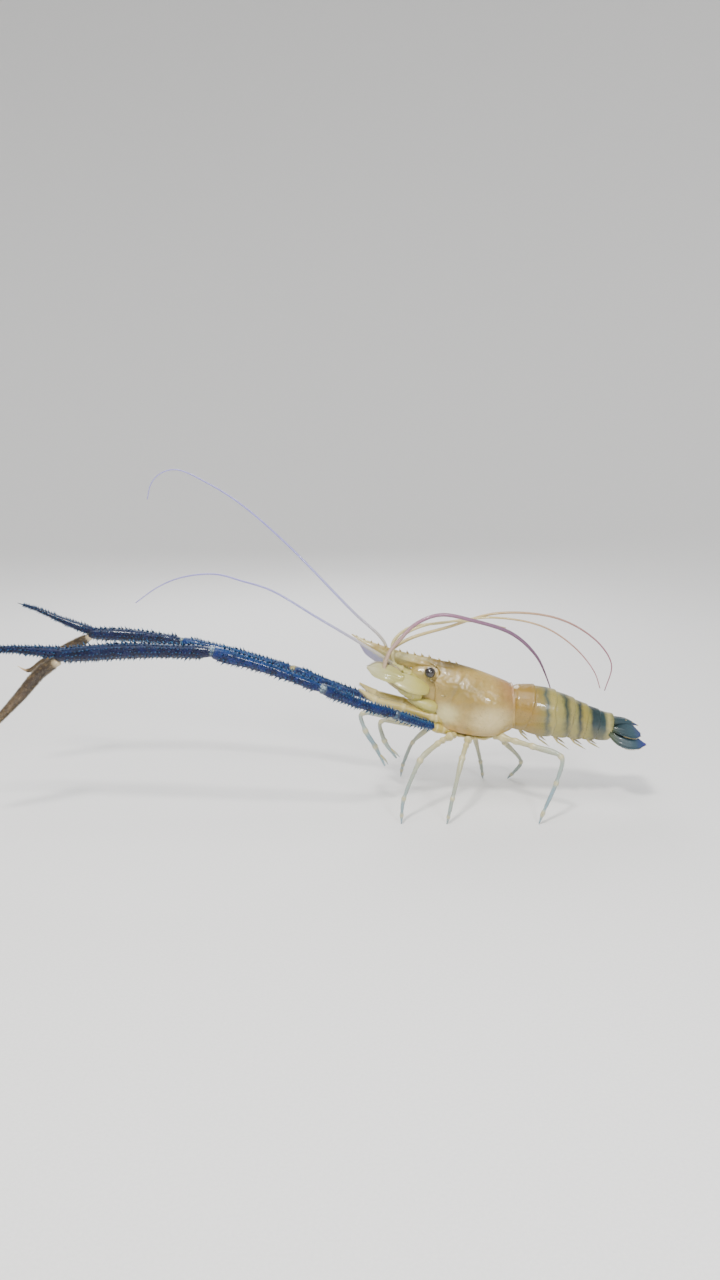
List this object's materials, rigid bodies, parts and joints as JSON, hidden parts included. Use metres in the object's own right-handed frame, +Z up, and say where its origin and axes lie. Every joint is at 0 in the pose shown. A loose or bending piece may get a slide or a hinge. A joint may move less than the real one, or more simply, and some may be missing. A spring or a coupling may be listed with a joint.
{
  "type": "giant river prawn",
  "caption": "Still life-size model of a large male giant river prawn, standing on its walking legs with its long blue claw arms held out in front.",
  "frame": {"origin": "on the floor, under the middle of the whole animal's box", "axes": "-X towards the head and claws, -Y towards its left side, +Z up"},
  "size_m": [0.3996, 0.1046, 0.2017],
  "materials": {
    "shell": "thin olive and cream shell, slightly translucent, wet gloss",
    "belly": "cream yellow shell of the underside",
    "abdomen_shell": "grey green banded shell, wet gloss",
    "tail_fan": "blue grey shell with violet tips",
    "eye": "dark brown glossy eye",
    "claw_blue": "deep cobalt blue spiny shell",
    "finger_velvet": "brown velvet of short hairs",
    "feeler_scale": "pale translucent blade",
    "feeler": "mauve and cream feelers",
    "limb": "pale blue and cream leg shell"
  },
  "bodies": {
    "root": {"abdomen_1": "abdomen_shell", "abdomen_2": "abdomen_shell", "abdomen_3": "abdomen_shell", "abdomen_4": "abdomen_shell", "abdomen_5": "abdomen_shell", "abdomen_6": "abdomen_shell", "antenna_base_left": "limb", "antenna_base_right": "limb", "antenna_left": "feeler", "antenna_right": "feeler", "antennal_scale_left": "feeler_scale", "antennal_scale_right": "feeler_scale", "antennule_left": "limb", "antennule_right": "limb", "back_feeler_left": "feeler", "back_feeler_right": "feeler", "carapace": "shell", "claw_carpus_left": "claw_blue", "claw_carpus_right": "claw_blue", "claw_finger_left": "finger_velvet", "claw_finger_right": "finger_velvet", "claw_ischium_left": "claw_blue", "claw_ischium_right": "claw_blue", "claw_merus_left": "claw_blue", "claw_merus_right": "claw_blue", "claw_palm_left": "claw_blue", "claw_palm_right": "claw_blue", "eye_left": "eye", "eye_right": "eye", "first_leg_left": "limb", "first_leg_right": "limb", "fore_feeler_left": "feeler", "fore_feeler_right": "feeler", "head_block": "shell", "maxilliped_left": "limb", "maxilliped_right": "limb", "rostrum": "shell", "sternum": "belly", "swimmeret_1_left": "limb", "swimmeret_1_right": "limb", "swimmeret_2_left": "limb", "swimmeret_2_right": "limb", "swimmeret_3_left": "limb", "swimmeret_3_right": "limb", "swimmeret_4_left": "limb", "swimmeret_4_right": "limb", "swimmeret_5_left": "limb", "swimmeret_5_right": "limb", "telson": "tail_fan", "uropod_inner_left": "tail_fan", "uropod_inner_right": "tail_fan", "uropod_outer_left": "tail_fan", "uropod_outer_right": "tail_fan", "walking_leg_3_left": "limb", "walking_leg_3_right": "limb", "walking_leg_4_left": "limb", "walking_leg_4_right": "limb", "walking_leg_5_left": "limb", "walking_leg_5_right": "limb"}
  },
  "joints": []
}
